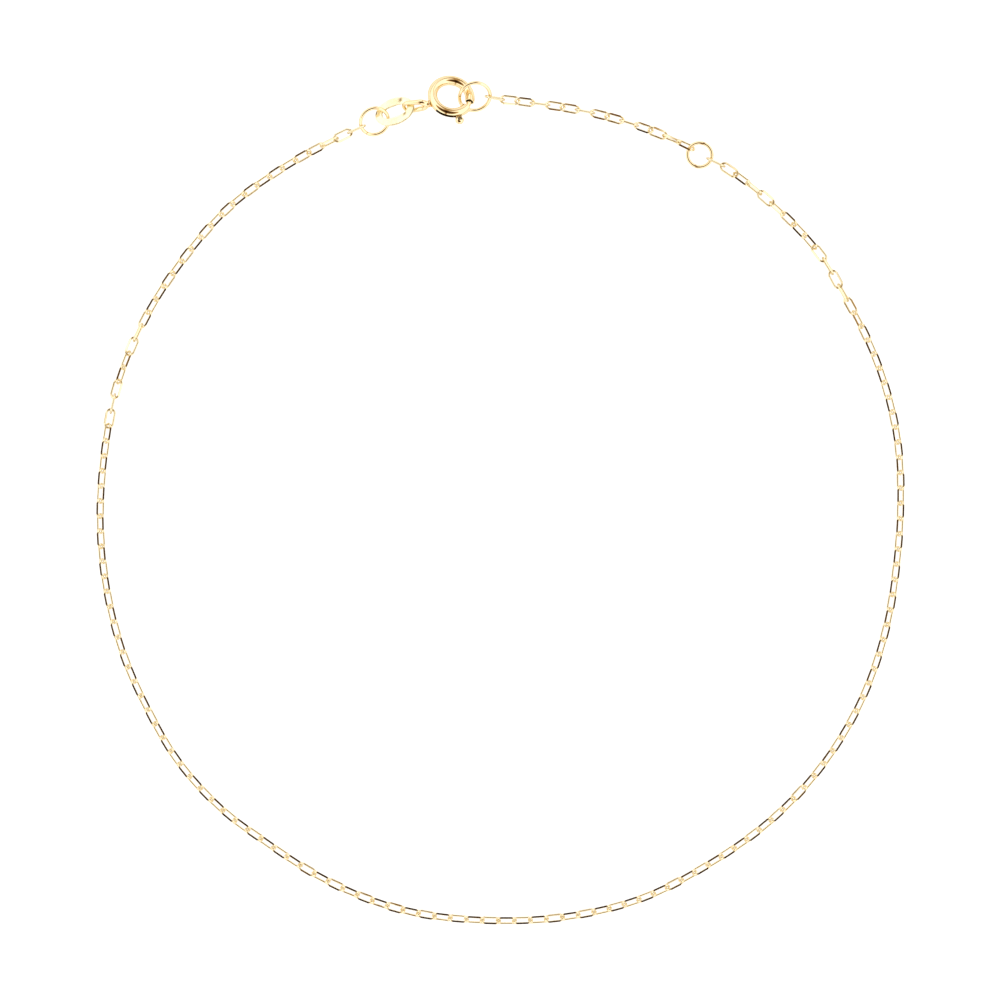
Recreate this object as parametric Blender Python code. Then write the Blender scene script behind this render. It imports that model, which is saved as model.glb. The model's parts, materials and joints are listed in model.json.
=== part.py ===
"""Fine gold cable-chain anklet, fastened and lying as a whole loop on Z = 0.

The spring ring clasp is at the back of the loop (+Y). Clockwise from it, seen from above, come the end
ring, the extender's links, the adjuster ring and the main run of chain. The main run goes all the way
round to the tag's ring, and the tag hangs on the eye that is soldered to the clasp.

Metres, +Z up.
"""

import math
from bisect import bisect_right

import bmesh
import bpy
from mathutils import Euler, Matrix, Vector

MM = 0.001

# Loop of the chain's axis round the ankle
LOOP_RADIUS = 44.4 * MM
LOOP_CENTRE_X = -0.1 * MM
LOOP_CENTRE_Y = -0.9 * MM
LOOP_CENTRE = Vector((LOOP_CENTRE_X, LOOP_CENTRE_Y, 0.0))
CLASP_ANGLE = math.radians(96.77)
ROUTE_STEP = math.radians(0.5)

# The route that the loop lies in, set by hand against the photo: degrees from +X, share of LOOP_RADIUS
ROUTE = [
    (0, 0.985), (10, 0.992), (20, 0.9945), (32, 0.996), (38, 1.0045),
    (48, 1.004), (56, 1.005), (64, 1.002), (74, 0.999), (84, 0.999),
    (90, 1.006), (93.5, 1.014), (96.7, 1.019), (102, 1.009), (108, 1.001),
    (114, 0.994), (124, 0.993), (132, 0.996), (142, 0.991), (152, 0.990),
    (162, 0.9885), (172, 0.9825), (182, 0.984), (192, 0.988), (202, 0.994),
    (210, 0.998), (218, 1.007), (228, 1.008), (235, 1.003), (244, 1.009),
    (256, 1.0165), (268, 1.014), (280, 1.018), (290, 1.021), (300, 1.015),
    (312, 1.016), (322, 1.0135), (332, 1.0065), (344, 0.993), (352, 0.985),
]

# Cable link: a long oval of round wire
LINK_WIRE = 0.25 * MM
LINK_WIDTH = 1.15 * MM
LINK_LENGTH = 2.34 * MM
LINK_END_POINTS = 7
LINK_PLAY = 0.18 * MM
CHAIN_HEIGHT = LINK_WIDTH / 2

# Extender: how far each link is rolled about the chain, 0 lying flat and 90 standing on edge
EXTENDER_ROLLS = [98, 157, 214, 270, 330, 390, 450, 510, 570, 630, 685, 740, 792, 844]
EXTENDER_LINKS = len(EXTENDER_ROLLS)

# Main run: one tube of the links' outer size
CHAIN_POINTS = 80
CHAIN_BEVEL_RESOLUTION = 2

# Jump rings, outer diameters
RING_WIRE = 0.38 * MM
ADJUSTER_RING = 3.05 * MM
END_RING = 3.76 * MM
TAG_RING = 3.5 * MM
RING_POINTS = 16
RING_TO_CHAIN_GAP = 0.08 * MM

# Spring ring clasp: a hollow tube bent to a ring
SPRING_RING_RADIUS = 2.07 * MM
SPRING_TUBE = 1.03 * MM
SPRING_WALL = 0.12 * MM
SPRING_GAP_FROM = math.radians(-37)
SPRING_GAP_TO = math.radians(-15)
SPRING_TILT = math.radians(-32)
SPRING_TILT_HEADING = math.radians(-18)
SPRING_SIDES = 12
SPRING_STEP = math.radians(10)
FLOOR_GAP = 0.03 * MM

# Bolt and trigger knob
BOLT = 0.5 * MM
BOLT_ENTRY = math.radians(5)
BOLT_TAIL = math.radians(14)
TRIGGER_ANGLE = math.radians(-75)
TRIGGER_TRAVEL = math.radians(50)
SLOT_WIDTH = 0.42 * MM
SLOT_CLEARANCE = 0.06 * MM
STEM_LENGTH = 0.5 * MM
KNOB_GAP = 0.06 * MM
KNOB_LENGTH = 0.88 * MM
KNOB_NECK = 0.66 * MM
KNOB_WIDTH = 0.92 * MM
KNOB_THICKNESS = 0.62 * MM
KNOB_END_POINTS = 8
GRIP_GROOVES = 3
GRIP_GROOVE = 0.09 * MM
GRIP_DEPTH = 0.07 * MM
GRIP_LENGTH = 0.45 * MM

# Eye soldered to the clasp
EYE_WIRE = 0.48 * MM
EYE_LENGTH = 3.0 * MM
EYE_WIDTH = 1.75 * MM
EYE_END_POINTS = 8
EYE_ANGLE = math.radians(204)
EYE_HEADING = math.radians(188.5)
EYE_DROP = math.radians(20)
EYE_LEAN = math.radians(30)
COLLAR = 0.78 * MM
COLLAR_LENGTH = 0.45 * MM
SOLDER = 0.08 * MM

# Tag: a flat oval ring
TAG_LENGTH = 4.55 * MM
TAG_WIDTH = 2.95 * MM
TAG_HOLE_LENGTH = 2.95 * MM
TAG_HOLE_WIDTH = 1.15 * MM
TAG_THICKNESS = 0.22 * MM
TAG_HEADING = math.radians(20.8)
TAG_RISE = math.radians(13)
TAG_LEAN = math.radians(-15)
TAG_PLAY = 0.1 * MM
TAG_RING_PLAY = 0.34 * MM
TAG_HOLE_FULLNESS = 2.6
TAG_OUTLINE_POINTS = 28
TAG_HOLE_POINTS = 20

# How the jump rings lie
END_RING_TILT = math.radians(28)
END_RING_SLOPE = math.radians(10)
END_RING_HEIGHT = 1.2 * MM
END_RING_SLACK = 0.48 * MM
TAG_RING_HEADING = math.radians(29)
TAG_RING_TILT = math.radians(26)
ADJUSTER_RING_TILT = math.radians(12)
ADJUSTER_RING_SAG = 0.24 * MM

SHARP_ANGLE = math.radians(40)
WELD = 1e-7


def clear_scene():
    for obj in list(bpy.data.objects):
        bpy.data.objects.remove(obj, do_unlink=True)


def new_collection(name):
    collection = bpy.data.collections.new(name)
    bpy.context.scene.collection.children.link(collection)
    return collection


def gold(name, color, roughness):
    material = bpy.data.materials.new(name)
    material.use_nodes = True
    shader = material.node_tree.nodes["Principled BSDF"]
    shader.inputs["Base Color"].default_value = (*color, 1.0)
    shader.inputs["Metallic"].default_value = 1.0
    shader.inputs["Roughness"].default_value = roughness
    return material


def link_object(name, data, collection, material=None, matrix=None, parent=None):
    obj = bpy.data.objects.new(name, data)
    collection.objects.link(obj)
    if material is not None and not data.materials:
        data.materials.append(material)
    obj.parent = parent
    obj.matrix_basis = matrix or Matrix.Identity(4)
    return obj


# Route of the chain


def route_radius(angle):
    """Radius of the loop at this angle, on a smooth closed curve through the route's rows."""
    degrees = math.degrees(angle) % 360
    count = len(ROUTE)
    row = bisect_right([a for a, _ in ROUTE], degrees) - 1
    (a0, r0), (a1, r1), (a2, r2), (a3, r3) = (
        (
            ROUTE[(row + k) % count][0] + 360 * ((row + k) // count),
            ROUTE[(row + k) % count][1],
        )
        for k in (-1, 0, 1, 2)
    )
    span = a2 - a1
    t = (degrees - a1) / span
    start_slope = (r2 - r0) / (a2 - a0) * span
    end_slope = (r3 - r1) / (a3 - a1) * span
    share = (
        r1 * (2 * t**3 - 3 * t**2 + 1)
        + start_slope * (t**3 - 2 * t**2 + t)
        + r2 * (3 * t**2 - 2 * t**3)
        + end_slope * (t**3 - t**2)
    )
    return LOOP_RADIUS * share


def route_point(angle):
    radius = route_radius(angle)
    flat = Vector((math.cos(angle), math.sin(angle), 0.0)) * radius
    return LOOP_CENTRE + flat


class Route:
    """The loop as distances along it, clockwise from the clasp's centre."""

    def __init__(self):
        steps = round(2 * math.pi / ROUTE_STEP)
        self.angles = [CLASP_ANGLE - 2 * math.pi * k / steps for k in range(steps + 1)]
        self.points = [route_point(angle) for angle in self.angles]
        self.along = [0.0]
        for before, after in zip(self.points, self.points[1:]):
            self.along.append(self.along[-1] + (after - before).length)
        self.length = self.along[-1]

    def at(self, distance):
        distance %= self.length
        row = min(bisect_right(self.along, distance), len(self.along) - 1)
        share = (distance - self.along[row - 1]) / (self.along[row] - self.along[row - 1])
        return self.points[row - 1].lerp(self.points[row], share)

    def heading(self, distance):
        """Unit vector along the chain, clockwise."""
        step = LINK_LENGTH / 2
        return (self.at(distance + step) - self.at(distance - step)).normalized()

    def distance_to(self, point):
        """How far along the route the point is, by its angle about the loop's centre."""
        offset = point - LOOP_CENTRE
        turned = (CLASP_ANGLE - math.atan2(offset.y, offset.x)) % (2 * math.pi)
        row = min(int(turned / (2 * math.pi) * (len(self.along) - 1)), len(self.along) - 2)
        share = turned / (2 * math.pi) * (len(self.along) - 1) - row
        return self.along[row] + share * (self.along[row + 1] - self.along[row])


def raised(point, height):
    return Vector((point.x, point.y, height))


def frame_from(x_axis, up, origin):
    """Matrix at origin with X along x_axis and Z as near to up as it can be."""
    x_axis = x_axis.normalized()
    y_axis = up.cross(x_axis).normalized()
    z_axis = x_axis.cross(y_axis)
    matrix = Matrix((x_axis, y_axis, z_axis)).transposed().to_4x4()
    matrix.translation = origin
    return matrix


# Shapes


def wire_curve(name, points, radius, cyclic, resolution=1):
    """A round wire along these points. Resolution 1 gives it 6 sides, and 2 gives it 8."""
    curve = bpy.data.curves.new(name, "CURVE")
    curve.dimensions = "3D"
    curve.bevel_depth = radius
    curve.bevel_resolution = resolution
    curve.use_fill_caps = not cyclic
    spline = curve.splines.new("POLY")
    spline.points.add(len(points) - 1)
    for row, point in zip(spline.points, points):
        row.co = (*point, 1.0)
    spline.use_cyclic_u = cyclic
    return curve


def arc_points(radius, start, end, step):
    count = max(2, math.ceil(abs(end - start) / step) + 1)
    turns = [start + (end - start) * k / (count - 1) for k in range(count)]
    return [Vector((math.cos(a), math.sin(a), 0.0)) * radius for a in turns]


def stadium_points(length, width, end_points):
    """Centre line of a long oval in the XY plane, with round ends."""
    radius = width / 2
    straight = length / 2 - radius
    points = []
    for side, start in ((1, -math.pi / 2), (-1, math.pi / 2)):
        for k in range(end_points):
            turn = start + math.pi * k / (end_points - 1)
            points.append(
                Vector((side * straight + radius * math.cos(turn), radius * math.sin(turn), 0.0))
            )
    return points


def oval_points(length, width, count, fullness=2.0):
    """An ellipse at fullness 2, and squarer towards its corners above that."""
    points = []
    for k in range(count):
        turn = 2 * math.pi * k / count
        across, along = math.cos(turn), math.sin(turn)
        points.append(
            (
                math.copysign(abs(across) ** (2 / fullness), across) * length / 2,
                math.copysign(abs(along) ** (2 / fullness), along) * width / 2,
            )
        )
    return points


def plate_curve(name, outlines, thickness):
    """A flat plate with the first outline round it and the others cut through it."""
    curve = bpy.data.curves.new(name, "CURVE")
    curve.dimensions = "2D"
    curve.fill_mode = "BOTH"
    curve.extrude = thickness / 2
    for outline in outlines:
        spline = curve.splines.new("POLY")
        spline.points.add(len(outline) - 1)
        for row, (x, y) in zip(spline.points, outline):
            row.co = (x, y, 0.0, 1.0)
        spline.use_cyclic_u = True
    return curve


def mesh_from_curve(curve, name, collection, matrix=None, parent=None):
    """The curve as a closed mesh object, with its caps welded to its sides."""
    holder = bpy.data.objects.new(name + "_curve", curve)
    collection.objects.link(holder)
    bpy.context.view_layer.update()
    graph = bpy.context.evaluated_depsgraph_get()
    mesh = bpy.data.meshes.new_from_object(holder.evaluated_get(graph))
    bpy.data.objects.remove(holder, do_unlink=True)
    bpy.data.curves.remove(curve)
    shape = bmesh.new()
    shape.from_mesh(mesh)
    bmesh.ops.remove_doubles(shape, verts=shape.verts, dist=WELD)
    bmesh.ops.recalc_face_normals(shape, faces=shape.faces)
    shape.to_mesh(mesh)
    shape.free()
    mesh.name = name
    return link_object(name, mesh, collection, matrix=matrix, parent=parent)


def box_object(name, size, centre, collection, matrix, parent):
    """A box of this size about centre, in the frame of matrix."""
    mesh = bpy.data.meshes.new(name)
    shape = bmesh.new()
    bmesh.ops.create_cube(shape, size=1.0)
    bmesh.ops.transform(
        shape,
        matrix=Matrix.Translation(centre) @ Matrix.Diagonal((*size, 1.0)),
        verts=shape.verts,
    )
    shape.to_mesh(mesh)
    shape.free()
    return link_object(name, mesh, collection, matrix=matrix, parent=parent)


def combine(target, helper, operation):
    helper.hide_render = True
    helper.display_type = "WIRE"
    modifier = target.modifiers.new(helper.name, "BOOLEAN")
    modifier.operation = operation
    modifier.solver = "EXACT"
    modifier.object = helper


def smooth(obj):
    obj.data.shade_smooth()
    obj.data.set_sharp_from_angle(angle=SHARP_ANGLE)


# Chain


def link_curve():
    points = stadium_points(LINK_LENGTH - LINK_WIRE, LINK_WIDTH - LINK_WIRE, LINK_END_POINTS)
    return wire_curve("link", points, LINK_WIRE / 2, cyclic=True)


def make_extender(joints, parts, material):
    """The links between consecutive joints, each rolled about its own axis."""
    curve = link_curve()
    for number, roll in enumerate(EXTENDER_ROLLS, start=1):
        start, end = joints[number - 1], joints[number]
        matrix = frame_from(end - start, Vector((0, 0, 1)), (start + end) / 2)
        matrix = matrix @ Matrix.Rotation(math.radians(roll), 4, "X")
        link_object(f"extender_link_{number:02d}", curve, parts, material, matrix)


def make_main_chain(route, start, end, parts, material):
    span = (end - start) / (CHAIN_POINTS - 1)
    points = [
        raised(route.at(start + span * k), CHAIN_HEIGHT) for k in range(CHAIN_POINTS)
    ]
    curve = wire_curve(
        "main_chain", points, LINK_WIDTH / 2, cyclic=False, resolution=CHAIN_BEVEL_RESOLUTION
    )
    link_object("main_chain", curve, parts, material)


def ring_radius(outer):
    return (outer - RING_WIRE) / 2


def make_ring(name, outer, matrix, parts, material):
    points = arc_points(ring_radius(outer), 0.0, 2 * math.pi, 2 * math.pi / RING_POINTS)[:-1]
    curve = wire_curve(name, points, RING_WIRE / 2, cyclic=True)
    link_object(name, curve, parts, material, matrix)


# Clasp


def make_tube(name, radius, start, end, collection, parent):
    points = arc_points(SPRING_RING_RADIUS, start, end, SPRING_STEP)
    curve = wire_curve(name, points, radius, cyclic=False, resolution=SPRING_SIDES // 2 - 2)
    return mesh_from_curve(curve, name, collection, parent=parent)


def stem_turn():
    """Half the angle that the trigger's stem takes up, seen from the ring's centre."""
    return STEM_LENGTH / 2 / SPRING_RING_RADIUS


def make_slot_cutter(helpers, parent):
    """A flat fan that opens the tube's outer wall over the trigger's travel."""
    spare = stem_turn() + SLOT_CLEARANCE / SPRING_RING_RADIUS
    start = TRIGGER_ANGLE + spare
    end = TRIGGER_ANGLE - TRIGGER_TRAVEL - spare
    inner = SPRING_RING_RADIUS
    outer = SPRING_RING_RADIUS + SPRING_TUBE
    rim = arc_points(outer, start, end, SPRING_STEP / 2)
    back = arc_points(inner, end, start, SPRING_STEP / 2)
    outline = [(p.x, p.y) for p in rim + back]
    curve = plate_curve("slot_cutter", [outline], SLOT_WIDTH)
    return mesh_from_curve(curve, "slot_cutter", helpers, parent=parent)


def clasp_tilt():
    """The clasp leans about a level line through its centre, and its angle 0 still faces +X."""
    heading = Matrix.Rotation(SPRING_TILT_HEADING, 4, "Z")
    return heading @ Matrix.Rotation(SPRING_TILT, 4, "X") @ heading.inverted()


def eye_matrix():
    """Frame of the eye in world axes: X points away from the clasp, down to the tag."""
    heading = Vector(
        (
            math.cos(EYE_HEADING) * math.cos(EYE_DROP),
            math.sin(EYE_HEADING) * math.cos(EYE_DROP),
            -math.sin(EYE_DROP),
        )
    )
    on_edge = frame_from(heading, Vector((0, 0, 1)), Vector())
    return on_edge @ Matrix.Rotation(math.radians(90) + EYE_LEAN, 4, "X")


def eye_root(clasp_matrix):
    """Where the eye's collar meets the outside of the clasp's tube, in the world."""
    reach = SPRING_RING_RADIUS + SPRING_TUBE / 2 - SOLDER
    return clasp_matrix @ Vector((math.cos(EYE_ANGLE) * reach, math.sin(EYE_ANGLE) * reach, 0.0))


def eye_centre(clasp_matrix):
    heading = eye_matrix().to_3x3() @ Vector((1, 0, 0))
    return eye_root(clasp_matrix) + heading * (COLLAR_LENGTH - SOLDER + EYE_LENGTH / 2)


def eye_tip(clasp_matrix):
    """Centre of the eye's wire at its far end, where the tag hangs."""
    heading = eye_matrix().to_3x3() @ Vector((1, 0, 0))
    return eye_centre(clasp_matrix) + heading * (EYE_LENGTH - EYE_WIRE) / 2


def make_spring_ring(clasp, clasp_matrix, parts, helpers, material):
    open_turn = 2 * math.pi + SPRING_GAP_FROM
    overrun = SPRING_STEP
    body = make_tube("spring_ring", SPRING_TUBE / 2, SPRING_GAP_TO, open_turn, parts, clasp)
    hollow_radius = SPRING_TUBE / 2 - SPRING_WALL
    hollow = make_tube(
        "tube_hollow", hollow_radius, SPRING_GAP_TO - overrun, open_turn + overrun, helpers, clasp
    )
    to_clasp = clasp_matrix.inverted()
    turned = eye_matrix()
    eye = mesh_from_curve(
        wire_curve(
            "eye",
            stadium_points(EYE_LENGTH - EYE_WIRE, EYE_WIDTH - EYE_WIRE, EYE_END_POINTS),
            EYE_WIRE / 2,
            cyclic=True,
        ),
        "eye",
        helpers,
        matrix=to_clasp @ Matrix.Translation(eye_centre(clasp_matrix)) @ turned,
        parent=clasp,
    )
    collar_length = COLLAR_LENGTH + EYE_WIRE / 2
    collar = mesh_from_curve(
        wire_curve(
            "collar",
            [Vector((0, 0, 0)), Vector((collar_length, 0, 0))],
            COLLAR / 2,
            cyclic=False,
            resolution=SPRING_SIDES // 2 - 2,
        ),
        "collar",
        helpers,
        matrix=to_clasp @ Matrix.Translation(eye_root(clasp_matrix)) @ turned,
        parent=clasp,
    )
    combine(body, collar, "UNION")
    combine(body, eye, "UNION")
    combine(body, hollow, "DIFFERENCE")
    combine(body, make_slot_cutter(helpers, clasp), "DIFFERENCE")
    body.data.materials.append(material)
    smooth(body)


def knob_outline():
    """The knob seen along the ring's axis, X pointing outwards: a neck that widens to a round end."""
    radius = KNOB_WIDTH / 2
    start = SPRING_RING_RADIUS + SPRING_TUBE / 2 + KNOB_GAP
    middle = start + KNOB_LENGTH - radius
    outline = [(start, -KNOB_NECK / 2)]
    for k in range(KNOB_END_POINTS):
        turn = math.radians(-90) + math.pi * k / (KNOB_END_POINTS - 1)
        outline.append((middle + radius * math.cos(turn), radius * math.sin(turn)))
    outline.append((start, KNOB_NECK / 2))
    return outline


def make_trigger_bolt(clasp, parts, helpers, material):
    turned = Matrix.Rotation(TRIGGER_ANGLE, 4, "Z")
    bolt = make_tube(
        "trigger_bolt",
        BOLT / 2,
        SPRING_GAP_TO + BOLT_ENTRY,
        TRIGGER_ANGLE - BOLT_TAIL,
        parts,
        clasp,
    )
    knob = mesh_from_curve(
        plate_curve("knob", [knob_outline()], KNOB_THICKNESS),
        "knob",
        helpers,
        matrix=turned,
        parent=clasp,
    )
    outer = SPRING_RING_RADIUS + SPRING_TUBE / 2 + KNOB_GAP
    stem_height = SLOT_WIDTH - 2 * SLOT_CLEARANCE
    stem_reach = outer + KNOB_GAP - SPRING_RING_RADIUS
    stem = box_object(
        "stem",
        (stem_reach, STEM_LENGTH, stem_height),
        Vector((SPRING_RING_RADIUS + stem_reach / 2, 0.0, 0.0)),
        helpers,
        turned,
        clasp,
    )
    combine(bolt, stem, "UNION")
    combine(bolt, knob, "UNION")
    spacing = KNOB_NECK / (GRIP_GROOVES + 1)
    for k in range(GRIP_GROOVES):
        across = spacing * (k + 1) - KNOB_NECK / 2
        groove = box_object(
            f"grip_groove_{k + 1}",
            (GRIP_LENGTH, GRIP_GROOVE, 2 * GRIP_DEPTH),
            Vector((outer + GRIP_LENGTH / 2 + GRIP_GROOVE, across, KNOB_THICKNESS / 2)),
            helpers,
            turned,
            clasp,
        )
        combine(bolt, groove, "DIFFERENCE")
    bolt.data.materials.append(material)
    smooth(bolt)


# Tag and its ring


def tag_matrix(tip):
    """Frame of the tag: its long axis rises towards the eye, whose tip sits in the hole's near end."""
    rest = Euler((TAG_LEAN, -TAG_RISE, 0.0)).to_matrix().to_4x4()
    turned = Matrix.Rotation(TAG_HEADING, 4, "Z") @ rest
    reach = TAG_HOLE_LENGTH / 2 - EYE_WIRE / 2 - TAG_PLAY
    turned.translation = tip - turned.to_3x3() @ Vector((reach, 0, 0))
    return turned


def make_tag(matrix, parts, material):
    outlines = [
        oval_points(TAG_LENGTH, TAG_WIDTH, TAG_OUTLINE_POINTS),
        oval_points(TAG_HOLE_LENGTH, TAG_HOLE_WIDTH, TAG_HOLE_POINTS, TAG_HOLE_FULLNESS),
    ]
    link_object("tag", plate_curve("tag", outlines, TAG_THICKNESS), parts, material, matrix)


def tag_ring_matrix(tag):
    """The tag's ring, whose near side goes through the far end of the tag's hole."""
    reach = TAG_HOLE_LENGTH / 2 - RING_WIRE / 2 - TAG_RING_PLAY
    near_side = tag @ Vector((-reach, 0, 0))
    turned = Matrix.Rotation(TAG_RING_HEADING, 4, "Z") @ Matrix.Rotation(TAG_RING_TILT, 4, "X")
    turned.translation = near_side - turned.to_3x3() @ Vector((ring_radius(TAG_RING), 0, 0))
    return turned


def end_ring_matrix(route):
    reach = (
        SPRING_RING_RADIUS
        + ring_radius(END_RING)
        - SPRING_TUBE / 2
        - RING_WIRE / 2
        - END_RING_SLACK
    )
    turned = Euler((END_RING_TILT, END_RING_SLOPE, 0.0)).to_matrix().to_4x4()
    turned.translation = raised(route.at(reach), END_RING_HEIGHT)
    return turned


def adjuster_ring_matrix(route, distance):
    """The adjuster ring, a little inside the route because the links hold its outer half."""
    turned = frame_from(
        route.heading(distance), Vector((0, 0, 1)), raised(route.at(distance), CHAIN_HEIGHT)
    )
    inward = turned.to_3x3() @ Vector((0, -ADJUSTER_RING_SAG, 0))
    return Matrix.Translation(inward) @ turned @ Matrix.Rotation(ADJUSTER_RING_TILT, 4, "X")


def joint_setback():
    """From a ring's wire to the middle of the play between it and the link that holds it."""
    return (RING_WIRE + LINK_PLAY) / 2


def link_pitch():
    """Centre to centre of two links that hold each other with LINK_PLAY between their wires."""
    return LINK_LENGTH - 2 * LINK_WIRE - LINK_PLAY


def build():
    clear_scene()
    parts = new_collection("anklet")
    helpers = new_collection("anklet_helpers")
    chain_gold = gold("chain_gold", (0.83, 0.60, 0.27), 0.16)
    clasp_gold = gold("clasp_gold", (0.86, 0.63, 0.30), 0.14)
    tag_gold = gold("tag_gold", (0.88, 0.72, 0.44), 0.34)

    route = Route()
    height = SPRING_RING_RADIUS * math.sin(-SPRING_TILT) + SPRING_TUBE / 2 + FLOOR_GAP
    clasp_matrix = Matrix.Translation(raised(route.at(0.0), height)) @ clasp_tilt()
    clasp = link_object("clasp_axis", None, parts, matrix=clasp_matrix)
    clasp.empty_display_size = SPRING_RING_RADIUS
    make_spring_ring(clasp, clasp_matrix, parts, helpers, clasp_gold)
    make_trigger_bolt(clasp, parts, helpers, clasp_gold)

    tag = tag_matrix(eye_tip(clasp_matrix))
    tag_ring = tag_ring_matrix(tag)
    make_tag(tag, parts, tag_gold)
    make_ring("tag_ring", TAG_RING, tag_ring, parts, clasp_gold)

    end_ring = end_ring_matrix(route)
    make_ring("end_ring", END_RING, end_ring, parts, clasp_gold)

    end_reach = ring_radius(END_RING) - joint_setback()
    first_joint = end_ring @ Vector((end_reach, 0, 0))
    drop = first_joint.z - CHAIN_HEIGHT
    first_distance = route.distance_to(first_joint)
    second_distance = first_distance + math.sqrt(link_pitch() ** 2 - drop**2)
    distances = [second_distance + link_pitch() * k for k in range(EXTENDER_LINKS)]
    joints = [first_joint] + [raised(route.at(d), CHAIN_HEIGHT) for d in distances]
    make_extender(joints, parts, chain_gold)

    hold = ring_radius(ADJUSTER_RING) - joint_setback()
    adjuster_distance = distances[-1] + math.sqrt(hold**2 - ADJUSTER_RING_SAG**2)
    adjuster = adjuster_ring_matrix(route, adjuster_distance)
    make_ring("adjuster_ring", ADJUSTER_RING, adjuster, parts, clasp_gold)

    chain_start = adjuster_distance + ADJUSTER_RING / 2 + RING_TO_CHAIN_GAP
    tag_ring_distance = route.distance_to(tag_ring.translation)
    chain_end = tag_ring_distance - TAG_RING / 2 - RING_TO_CHAIN_GAP
    make_main_chain(route, chain_start, chain_end, parts, chain_gold)
    bpy.context.view_layer.update()


build()
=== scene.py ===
"""Looks of the fine gold anklet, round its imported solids.

The chain is drawn link by link, the clasp is a real hollow tube with its bolt inside, and the rings are
bent wire with a seam. Metres, +Z up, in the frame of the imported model.
"""

import json
import math
import random
from bisect import bisect_right

import bmesh
import bpy
import numpy as np
from mathutils import Matrix, Vector, noise


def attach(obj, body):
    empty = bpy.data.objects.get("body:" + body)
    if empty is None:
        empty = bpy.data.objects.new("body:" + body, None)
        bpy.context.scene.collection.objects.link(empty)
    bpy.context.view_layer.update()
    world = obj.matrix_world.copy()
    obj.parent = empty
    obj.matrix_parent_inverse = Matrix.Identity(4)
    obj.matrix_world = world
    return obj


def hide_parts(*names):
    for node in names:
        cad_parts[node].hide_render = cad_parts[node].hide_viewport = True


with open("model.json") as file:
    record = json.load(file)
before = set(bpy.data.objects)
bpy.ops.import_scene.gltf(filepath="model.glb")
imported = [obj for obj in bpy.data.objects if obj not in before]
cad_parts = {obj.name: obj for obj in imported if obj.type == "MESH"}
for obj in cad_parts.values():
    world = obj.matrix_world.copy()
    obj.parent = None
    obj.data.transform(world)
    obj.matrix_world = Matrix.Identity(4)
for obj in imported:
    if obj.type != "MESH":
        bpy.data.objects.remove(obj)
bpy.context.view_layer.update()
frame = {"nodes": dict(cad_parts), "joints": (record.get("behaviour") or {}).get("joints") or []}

MM = 0.001
UP = Vector((0, 0, 1))

# Photograph: what one pixel is, and the pixel that is the frame's origin
PHOTO_PIXEL = 0.1092 * MM
PHOTO_SIZE = 1000
ORIGIN_PIXEL = (501, 500)
CAMERA_LENS = 800
SENSOR = 36
CHAIN_LEVEL = 0.4 * MM

# Loop of the chain's axis round the ankle
LOOP_RADIUS = 44.4 * MM
LOOP_CENTRE_X = -0.1 * MM
LOOP_CENTRE_Y = -0.9 * MM
LOOP_CENTRE = Vector((LOOP_CENTRE_X, LOOP_CENTRE_Y, 0.0))
CLASP_ANGLE = math.radians(96.77)
ROUTE_STEP = math.radians(0.5)

# The route that the loop lies in, from radii measured in the photo: degrees from +X, share of LOOP_RADIUS
ROUTE = [
    (0, 0.985), (10, 0.992), (20, 0.9945), (32, 0.996), (38, 1.0045),
    (48, 1.004), (56, 1.005), (64, 1.002), (74, 0.999), (84, 0.999),
    (90, 1.006), (93.5, 1.014), (96.7, 1.019), (102, 1.009), (108, 1.001),
    (114, 0.994), (124, 0.993), (132, 0.996), (142, 0.991), (152, 0.990),
    (162, 0.9885), (172, 0.9825), (182, 0.984), (192, 0.988), (202, 0.994),
    (210, 0.998), (218, 1.007), (228, 1.008), (235, 1.003), (244, 1.009),
    (256, 1.0165), (268, 1.014), (280, 1.018), (290, 1.021), (300, 1.015),
    (312, 1.016), (322, 1.0135), (332, 1.0065), (344, 0.993), (352, 0.985),
]

# Where some of the main run's links lie: link number from the adjuster ring, angle in degrees
PLACES = [
    (12, 34.3), (22, 12.7), (42, -30.7), (63, -75.8),
    (84, -122.6), (104, -167), (124, -210.2), (140, -245),
]

# How the main run is twisted: link number, roll of the even links near it in degrees
TWIST = [
    (1, 0), (2, 8), (4.5, 90), (7, 130), (9, 142), (11.5, 180), (14, 208), (16, 220), (20, 223),
    (60, 223), (90, 224), (115, 222), (116, 187), (117.3, 174), (119.5, 133), (121.5, 90), (123.5, 46),
    (138, 44), (139.5, 62), (141.5, 90),
]

# Even links rocked in their neighbours: first and last of the row, roll in degrees
ROCKED = [(10, 10, 12), (48, 48, -11), (58, 58, -9), (64, 66, -5), (73, 82, -8), (126, 138, -7)]
ROCK = 3
ROCK_SEED = 7

# Cable link
LINK_WIRE = 0.25 * MM
LINK_WIDTH = 1.15 * MM
LINK_LENGTH = 2.34 * MM
LINK_END_REACH = 0.48 * MM
LINK_END_POWER = 1.2
LINK_END_POINTS = 15
MAIN_LINKS = 142
RING_PLAY = 0.09 * MM
CUT_DEPTH = 0.28
CUT_ANGLE = math.radians(46)
CUT_FADE = 1.6
ROUND_SEGMENTS = 9

# Jump rings
RING_WIRE = 0.38 * MM
RING_STEPS = 96
RING_SIDES = 18
RING_BEVEL = 0.25
SEAM = 0.03 * MM

# Where each jump ring's seam lies, a guess: radians round the ring
SEAM_PLACES = {"adjuster_ring": 0.8, "end_ring": 1.0, "tag_ring": 1.0}

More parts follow.
